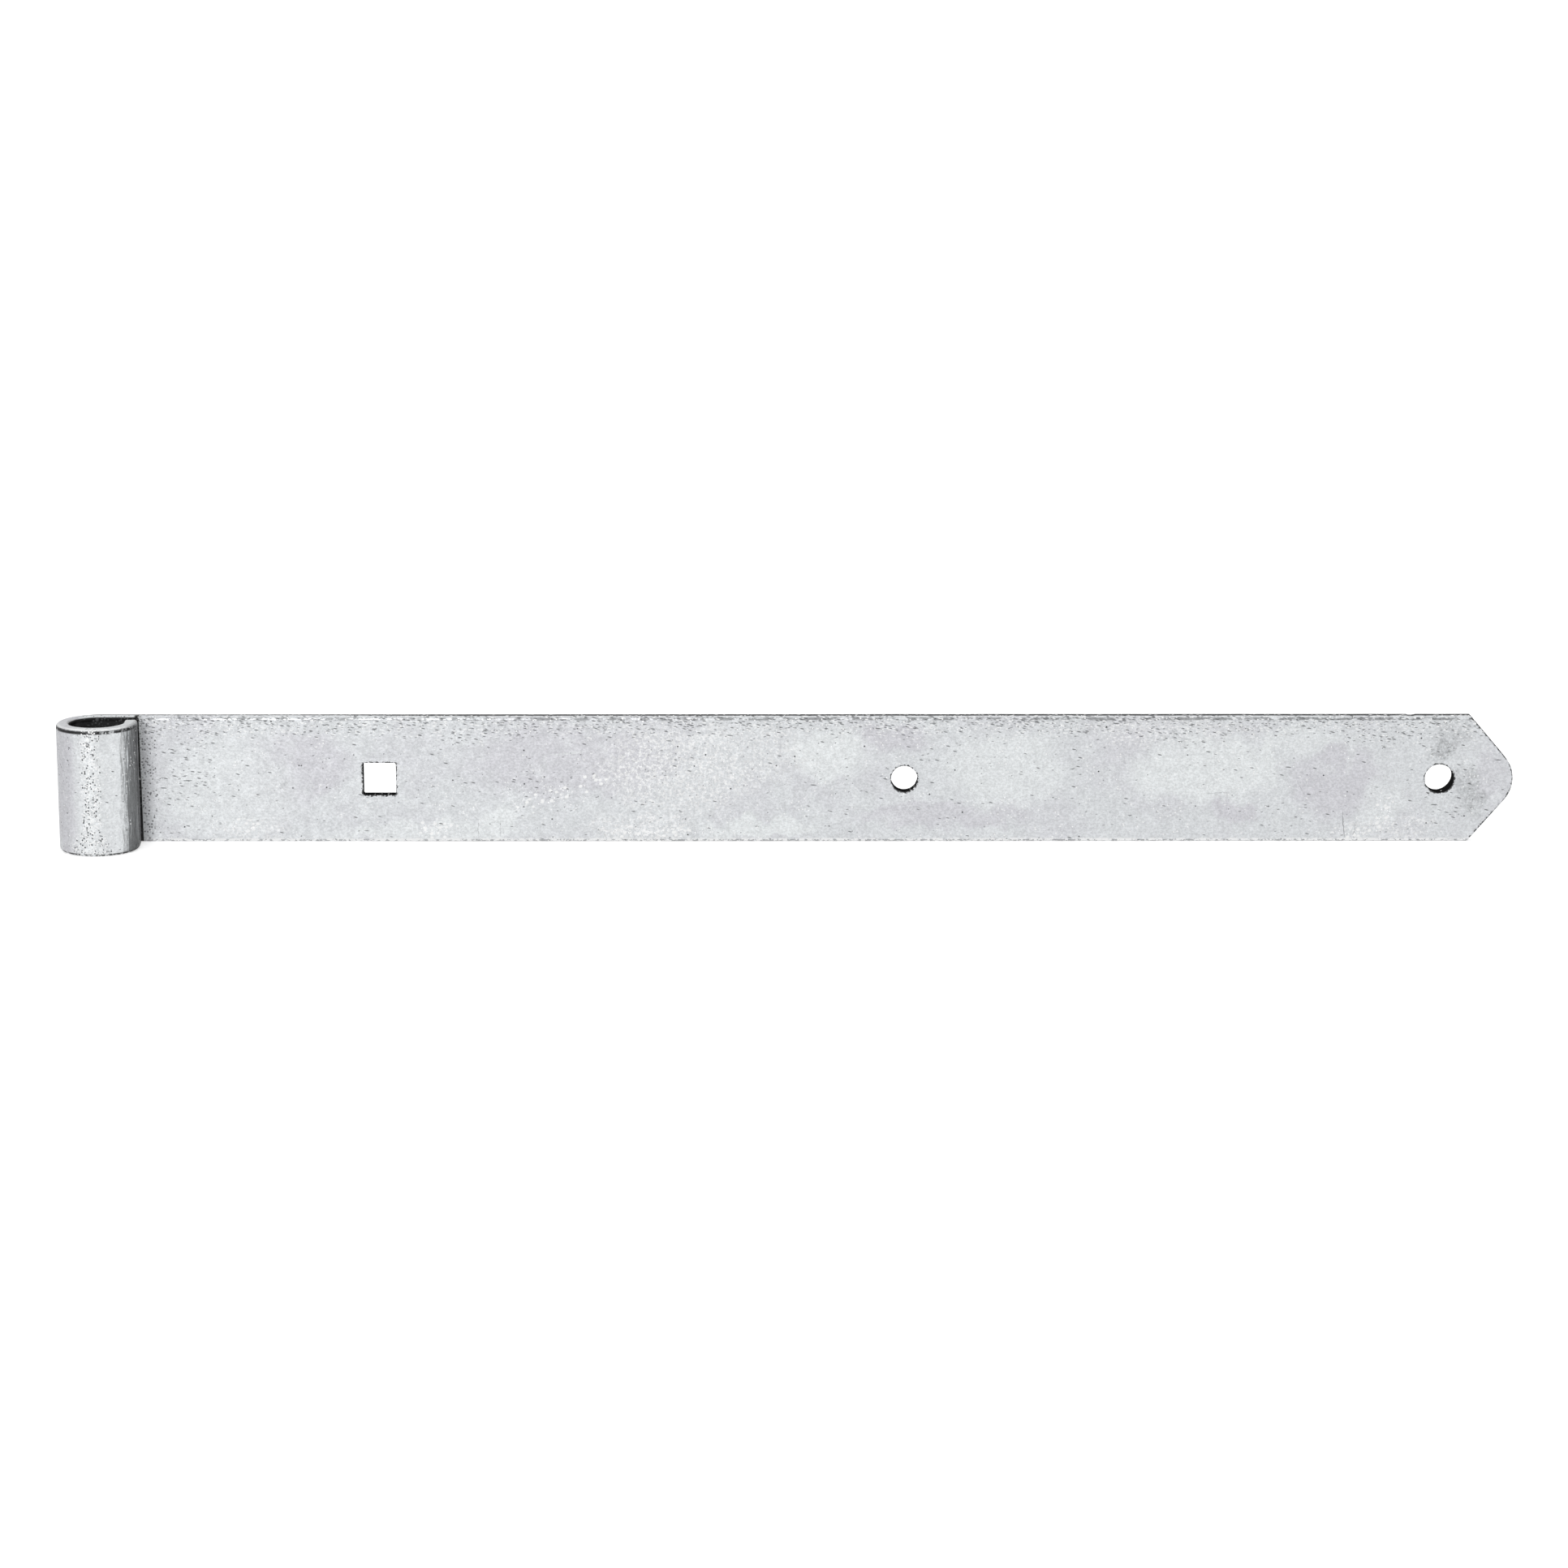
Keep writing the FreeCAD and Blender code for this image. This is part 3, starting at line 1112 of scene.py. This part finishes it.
    def dark_marks(self) -> Number:
        """Return the mask of the dark pits, dashes and scratches."""
        write, at = self.write, self.at
        crowd = write.most(self.z.ramp(12.0, 18.2) * self.x.ramp(11.0, 14.0) * 0.80, 0.03)
        if self.finish.has_patches:
            crowd = write.most(crowd, write.patches(write.warped(at, 0.12, 6.0), DASH_PATCHES) * 0.55)
        falling = write.stretch(at, (2.4, 1.0, 0.62), math.radians(-12.0))
        rising = write.stretch(at, (1.7, 1.0, 0.55), math.radians(8.0), (3.0, 5.0, 1.0))
        sliver = write.stretch(at, (5.5, 1.0, 1.0), math.radians(-4.0))
        smudge = write.noise(write.stretch(at, (2.2, 1.0, 0.75), math.radians(-6.0)), 1.0, 3.0, 0.75)
        marks = write.most(
            write.spots(at, 0.36, 0.12, 0.40) * write.noise(at, 0.21, 1.0).ramp(0.42, 0.54, 0.1, 1.0),
            write.spots(at, 0.95, 0.24, crowd * 0.3 + 0.12) * 0.6,
            write.spots(at, 1.25, 0.44, self.glance * 0.78),
            # Dark spots crowd the crease beside the eye as part of its painted shade.
            write.spots(at, 1.15, 0.42, self.crease * 0.85) * 0.80,
            write.spots(falling, 1.0, 0.36, crowd * 0.95) * 0.80,
            write.spots(rising, 1.0, 0.34, crowd * 0.75) * 0.65,
            write.spots(sliver, 0.60, 0.14, crowd * 0.6 + 0.04) * 0.75,
            smudge.ramp(0.54, 0.70) * crowd * 0.45,
        )
        if self.finish.has_patches:
            marks = write.most(marks, write.patches(write.warped(at, 0.9, 0.5), SCRATCHES))
        return marks

    def bright_marks_and_highlights(self) -> Number:
        """Return the mask of white specks, dashes, worn lower edge, painted glints and the eye's painted rim
        highlight.
        """
        write, at, x, y, z = self.write, self.at, self.x, self.y, self.z
        top = z.ramp(10.0, 17.5) * x.ramp(11.0, 14.0)
        cluster = write.noise(at, 0.075, 2.0, 0.5).ramp(0.52, 0.66, 0.06, 0.5)
        # Painted glints crowd the eye's lit front.
        cluster = write.most(cluster, top * 0.5, self.glance * 0.85)
        glitter = write.stretch(at, (1.0, 1.0, 1.0), 0.0, (4.0, 9.0, 2.0))
        streaks = write.stretch(at, (2.2, 1.0, 0.62), math.radians(-9.0), (7.0, 2.0, 3.0))
        flaky = write.noise(at, 0.7, 3.0, 0.75)
        marks = write.most(
            write.spots(at, 0.95, 0.30, cluster) * 0.95,
            # Painted glints on the eye's lit front.
            write.spots(glitter, 1.45, 0.46, self.glance * 0.95),
            write.spots(streaks, 1.0, 0.34, top * 0.75) * 0.85,
            z.band(-19.30, 0.75) * flaky.ramp(0.44, 0.52) * x.ramp(12.5, 13.5) * 0.9,
            # A painted highlight along the rounded upper rim of the eye's end.
            z.band(19.70, 0.30) * flaky.ramp(0.36, 0.50) * x.ramp(12.8, 12.0) * y.ramp(4.6, 3.6) * 0.8,
        )
        if self.finish.has_patches:
            placed = write.patches(write.warped(at, 0.3, 2.0), SPARKLE_PATCHES)
            sparkle = write.stretch(at, (1.3, 1.0, 1.0), math.radians(14.0), (2.0, 4.0, 6.0))
            marks = write.most(marks, write.spots(sparkle, 0.80, 0.50, placed * 0.60))
        return marks


@dataclass
class Band:
    """The whole band: the blank, the roll of its eye, and its finish. Lengths are in millimetres."""

    bore_radius: float
    eye_radius: float
    lip_gap: float = 4.6
    lip_length: float = 3.0
    square_half_side: float = 5.1
    square_corner_radius: float = 0.45
    tip_burr: float = 0.6
    swell_height: float = 0.10
    swell_waves: float = 0.09
    zinc: ZincFinish = ZincFinish()
    sheared: ZincFinish = ZincFinish(
        "sheared_zinc", tone=0.80, roughness=0.5, has_patches=False, has_rims=False
    )
    # The punched walls are painted near black: painted shade inside the holes.
    punched: ZincFinish = ZincFinish(
        "punched_zinc", tone=0.02, roughness=0.7, gloss=0.0, has_patches=False, has_rims=False
    )

    @property
    def middle_radius(self) -> float:
        """The radius of the bar's middle in the roll."""
        return (self.bore_radius + self.eye_radius) / 2

    @property
    def roll_angle(self) -> float:
        """The angle of the bend, which leaves lip_gap between the lip's end and the strap."""
        corner_radius = math.hypot(self.eye_radius, self.lip_length)
        rise = math.asin((self.bore_radius - self.lip_gap) / corner_radius)
        return 3 * QUARTER + rise - math.atan2(self.lip_length, self.eye_radius)

    def make_blank(self) -> Blank:
        """Lay the bar out flat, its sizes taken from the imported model."""
        _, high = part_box(NODE)
        square = mount_named("square_bolt_hole")["pos_m"][0] / MM
        holes = [Hole(square, self.square_half_side, self.square_corner_radius)]
        for name, burr in (("middle_bolt_hole", 0.0), ("tip_bolt_hole", self.tip_burr)):
            mount = mount_named(name)
            radius = mount["dims"]["r_mm"]
            holes.append(Hole(mount["pos_m"][0] / MM, radius, radius, burr))
        return Blank(
            half_width=high[2] / MM,
            thickness=self.eye_radius - self.bore_radius,
            strap_length=high[0] / MM,
            wrap_length=self.middle_radius * self.roll_angle,
            holes=holes,
            lip_length=self.lip_length,
            ridges=[
                Ridge(417.7, 10.7, 4.4, 0.22, 0.14, math.radians(93.0)),
                Ridge(168.0, 17.6, 0.9, 0.25, 0.14, math.radians(85.0)),
                Ridge(-31.6, 14.9, 0.55, 0.65, -0.22, 0.0, Side.BACK),
            ],
            nicks=[Nick(405.6, 1.15, 0.20, True), Nick(258.9, 0.42, 0.45, False)],
        )

    def roll_values(self) -> dict[str, float]:
        """Return the roll tree's sizes, in metres and radians."""
        return {
            "Middle radius": self.middle_radius * MM,
            "Roll angle": self.roll_angle,
            "Swell height": self.swell_height * MM,
            "Swell waves": self.swell_waves,
        }

    def roll_tree(self) -> bpy.types.NodeTree:
        """Build the node tree that rolls the blank's eye and swells its faces with uneven zinc."""
        write = new_group("roll_eye", "Blank", list(self.roll_values()), list(LEAST_MARKS))
        given = write.add("NodeGroupInput").outputs
        middle = Number(write, given["Middle radius"])
        place = write.socket("GeometryNodeInputPosition")
        along, through, across = write.parts(place)

        wave = write.noise(write.in_millimetres(place), given["Swell waves"], 3.0)
        sink = wave * given["Swell height"]
        depth = through - write.math("SIGN", through) * sink
        edge_sink = abs(across).ramp(0.0150, 0.0199) * sink
        height = across - write.math("SIGN", across) * edge_sink

        radius = middle + depth
        wrapped = write.most(-along, 0.0)
        angle = write.math("MINIMUM", wrapped / middle, given["Roll angle"])
        lip = write.most(wrapped - middle * given["Roll angle"], 0.0)
        sine = write.math("SINE", angle)
        cosine = write.math("COSINE", angle)
        x = -(radius * sine) - lip * cosine + write.most(along, 0.0)
        rolled = write.vector(x, radius * cosine - lip * sine, height)

        shape = write.socket("GeometryNodeSetPosition", {"Geometry": given["Blank"], "Position": rolled})
        shape = write.socket("GeometryNodeRealizeInstances", {0: shape})
        mark = write.number("GeometryNodeInputNamedAttribute", {"Name": "sheared"}, data_type="FLOAT")
        for name, least in LEAST_MARKS.items():
            marked = write.math("GREATER_THAN", mark, least)
            inputs = {"Geometry": shape, "Selection": marked, "Material": given[name]}
            shape = write.socket("GeometryNodeSetMaterial", inputs)
        write.end("NodeGroupOutput", shape)
        return write.tree

    def build(self) -> bpy.types.Object:
        """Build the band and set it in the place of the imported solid."""
        band = self.make_blank().build("band_skin")
        finishes = (self.zinc, self.sheared, self.punched)
        dress = {name: finish.build() for name, finish in zip(LEAST_MARKS, finishes)}
        apply_tree(band, self.roll_tree(), self.roll_values() | dress)
        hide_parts(NODE)
        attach(band, BODY)
        turned = math.degrees(self.roll_angle)
        log.info("band: %d faces, rolled through %.1f degrees", len(band.data.polygons), turned)
        return band


SPECK_CLUSTERS = (
    (Patch(44.5, -15, 5, 3), 45),
    (Patch(102.5, -15.5, 4, 3), 28),
    (Patch(137, -5, 13, 6), 90),
    (Patch(173, -17, 17, 2.2), 80),
    (Patch(182, 4, 24, 9), 130),
    (Patch(398, -12, 2.6, 5.5), 40),
    (Patch(389, -17.5, 6, 1.2), 22),
    (Patch(228, 16, 190, 2), 260),
    (Patch(228, 0, 200, 16), 120),
    (Patch(-32.6, 0, 2.2, 17), 150),
    (Patch(-34, -15.5, 9, 2.6), 60),
)


@dataclass
class Specks:
    """Specks of dross that stand on the zinc, in clusters. Lengths are in millimetres."""

    blank: Blank
    band: Band
    least_radius: float = 0.13
    most_radius: float = 0.32
    flatness: float = 0.45
    eye_sink: float = 0.08
    edge_margin: float = 1.0
    rim_margin: float = 0.8
    segments: int = 8
    rings: int = 4
    seed: int = 7
    finish: ZincFinish = ZincFinish(
        name="bright_speck",
        plain=(0.95, 0.96, 0.965, 1.0),
        lilac=(0.93, 0.935, 0.95, 1.0),
        roughness=0.40,
        grain_depth=0.04,
        has_patches=False,
        has_rims=False,
    )

    def places(self) -> list[tuple[float, float, float]]:
        """Return u, z and radius of each speck, seeded so that they are the same each time."""
        rng = random.Random(self.seed)
        edge = self.blank.half_width - self.edge_margin
        places = []
        for patch, count in SPECK_CLUSTERS:
            for _ in range(count):
                u = patch.x + patch.half_x * rng.uniform(-1.0, 1.0)
                z = patch.z + patch.half_z * max(min(rng.gauss(0.0, 0.5), 1.2), -1.2)
                radius = self.least_radius + (self.most_radius - self.least_radius) * rng.random() ** 2
                if min(self.blank.cut_depth(u, z), edge - abs(z)) > self.rim_margin:
                    places.append((u, z, radius))
        return places

    def tree(self) -> bpy.types.NodeTree:
        """Build the node tree that sets a small flat ball on each point."""
        write = new_group("set_specks", "Points", ["Flatness"], ["Finish"])
        given = write.add("NodeGroupInput").outputs
        ball = {"Radius": 1.0, "Segments": self.segments, "Rings": self.rings}
        ball = write.socket("GeometryNodeMeshUVSphere", ball)
        press = write.vector(1.0, given["Flatness"], 1.0)
        flat = write.socket("GeometryNodeTransform", {"Geometry": ball, "Scale": press})
        size, turn = (
            write.socket("GeometryNodeInputNamedAttribute", {"Name": name}, data_type="FLOAT")
            for name in ("radius", "turn")
        )
        about = write.vector(0.0, 0.0, turn)
        inputs = {"Points": given["Points"], "Instance": flat, "Rotation": about, "Scale": size}
        spread = write.socket("GeometryNodeInstanceOnPoints", inputs)
        real = write.socket("GeometryNodeRealizeInstances", {0: spread})
        dress = {"Geometry": real, "Material": given["Finish"]}
        write.end("NodeGroupOutput", write.socket("GeometryNodeSetMaterial", dress))
        return write.tree

    def build(self) -> bpy.types.Object:
        """Build the specks and let them ride with the band."""
        places = self.places()
        corners = []
        for u, z, _ in places:
            side = Side.BACK if u < 0 else Side.FRONT
            n = self.blank.height(u, z, side) - (self.eye_sink if u < 0 else 0.0)
            corners.append((u * MM, n * MM, z * MM))
        mesh = bpy.data.meshes.new("zinc_specks")
        mesh.from_pydata(corners, [], [])
        radii = mesh.attributes.new("radius", "FLOAT", "POINT")
        turns = mesh.attributes.new("turn", "FLOAT", "POINT")
        for index, (u, _, radius) in enumerate(places):
            radii.data[index].value = radius * MM
            turns.data[index].value = math.pi - u / self.band.middle_radius if u < 0 else 0.0
        specks = put("zinc_specks", mesh)
        apply_tree(specks, self.band.roll_tree(), self.band.roll_values())
        apply_tree(specks, self.tree(), {"Flatness": self.flatness, "Finish": self.finish.build()})
        for polygon in specks.data.polygons:
            polygon.use_smooth = True
        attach(specks, BODY)
        log.info("specks: %d of them, %d faces", len(places), len(specks.data.polygons))
        return specks


@dataclass
class Studio:
    """A pale floor, soft light and the camera. Lengths are in metres."""

    floor_z: float
    camera_place: tuple[float, float, float] = (0.210839, -1.367636, 0.302588)
    focal_pixels: float = 5595.1
    pitch: float = math.radians(12.4665)
    yaw: float = math.radians(0.0273)
    roll: float = math.radians(-0.0211)
    sensor_width: float = 36.0
    view_end: float = 100.0
    floor_side: float = 40.0
    floor_colour: tuple[float, float, float, float] = (0.88, 0.88, 0.88, 1.0)
    floor_glow: float = 0.50
    lamp_place: tuple[float, float, float] = (-0.40, -1.60, 0.45)
    lamp_side: float = 0.45
    lamp_watts: float = 5.0

    def build_camera(self) -> None:
        """Set the camera where the picture was taken from."""
        data = bpy.data.cameras.new("camera")
        data.sensor_width = self.sensor_width
        data.lens = self.focal_pixels / PICTURE_SIDE * self.sensor_width
        data.clip_end = self.view_end
        level = math.cos(self.pitch)
        ahead = Vector((math.sin(self.yaw) * level, math.cos(self.yaw) * level, -math.sin(self.pitch)))
        right = Vector((math.cos(self.yaw), -math.sin(self.yaw), 0.0))
        up = right.cross(ahead)
        right, up = (
            right * math.cos(self.roll) + up * math.sin(self.roll),
            up * math.cos(self.roll) - right * math.sin(self.roll),
        )
        turn = Matrix((right, up, -ahead)).transposed()
        camera = put("camera", data)
        camera.matrix_world = Matrix.Translation(self.camera_place) @ turn.to_4x4()
        bpy.context.scene.camera = camera

    def build_floor(self) -> None:
        """Lay the pale floor that the band stands on."""
        shape = bmesh.new()
        bmesh.ops.create_grid(shape, x_segments=8, y_segments=8, size=self.floor_side / 2)
        mesh = bpy.data.meshes.new("floor")
        shape.to_mesh(mesh)
        shape.free()
        floor = put("floor", mesh)
        floor.location = (0.0, 0.0, self.floor_z)
        floor.visible_glossy = False
        material, write = new_material("white_floor")
        path = write.add("ShaderNodeLightPath").outputs
        seen = write.most(path["Is Camera Ray"], path["Is Glossy Ray"], path["Is Transmission Ray"])
        paint = write.socket("ShaderNodeBsdfDiffuse", {"Color": self.floor_colour})
        glow = write.socket("ShaderNodeEmission", {"Strength": seen * self.floor_glow})
        write.end("ShaderNodeOutputMaterial", write.socket("ShaderNodeAddShader", {0: paint, 1: glow}))
        mesh.materials.append(material)

    def build_light(self) -> None:
        """Light the band softly from all round, with less light from the right and from behind."""
        world = bpy.data.worlds.new("soft_room")
        bpy.context.scene.world = world
        world.use_nodes = True
        write = TreeWriter(world.node_tree)
        x, y, z = write.parts(write.socket("ShaderNodeTexCoord", output="Generated"))
        turn = write.math("ARCTAN2", x, -y)
        level = turn.ramp(-0.9, -1.9, 1.02, 0.82) * turn.ramp(-0.20, -0.45, 1.0, 1.11)
        level = level * turn.ramp(-0.12, 0.17, 1.0, 1.06) * turn.ramp(0.6, 1.0, 1.0, 1.13)
        level = level * turn.ramp(1.34, 1.86, 1.0, 0.30)
        behind = turn.ramp(2.3, 3.0) * z.ramp(0.10, -0.10, 0.48, 0.90)
        high = z.ramp(0.50, 0.80, 0.0, 1.20)
        low = z.ramp(-0.45, -0.75, 0.0, 1.10)
        seen = write.number("ShaderNodeLightPath", output="Is Camera Ray")
        level = write.most(level, behind, high, low, seen)
        level = write.math("MINIMUM", level, seen.ramp(0.0, 1.0, 2.0, 1.0))
        background = write.socket("ShaderNodeBackground", {"Strength": level})
        write.end("ShaderNodeOutputWorld", background)

    def build_lamp(self) -> None:
        """Hang one square soft lamp that looks at the band's eye."""
        data = bpy.data.lights.new("front_lamp", "AREA")
        data.size = self.lamp_side
        data.energy = self.lamp_watts
        turn = (-Vector(self.lamp_place)).to_track_quat("-Z", "Y").to_matrix()
        put("front_lamp", data).matrix_world = Matrix.Translation(self.lamp_place) @ turn.to_4x4()

    def build(self) -> None:
        """Set up the whole studio."""
        self.build_camera()
        self.build_floor()
        self.build_light()
        self.build_lamp()
        bpy.context.scene.view_settings.view_transform = "Standard"
        log.info("studio: floor at %.3f m", self.floor_z)


def main() -> None:
    """Build the band and the studio."""
    logging.basicConfig(level=logging.INFO, format="%(name)s %(message)s")
    low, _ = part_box(NODE)
    bore_radius = mount_named("eye_bore")["dims"]["r_mm"]
    band = Band(bore_radius=bore_radius, eye_radius=-low[0] / MM)
    band.build()
    Specks(blank=band.make_blank(), band=band).build()
    Studio(floor_z=low[2]).build()


if __name__ == "__main__":
    main()
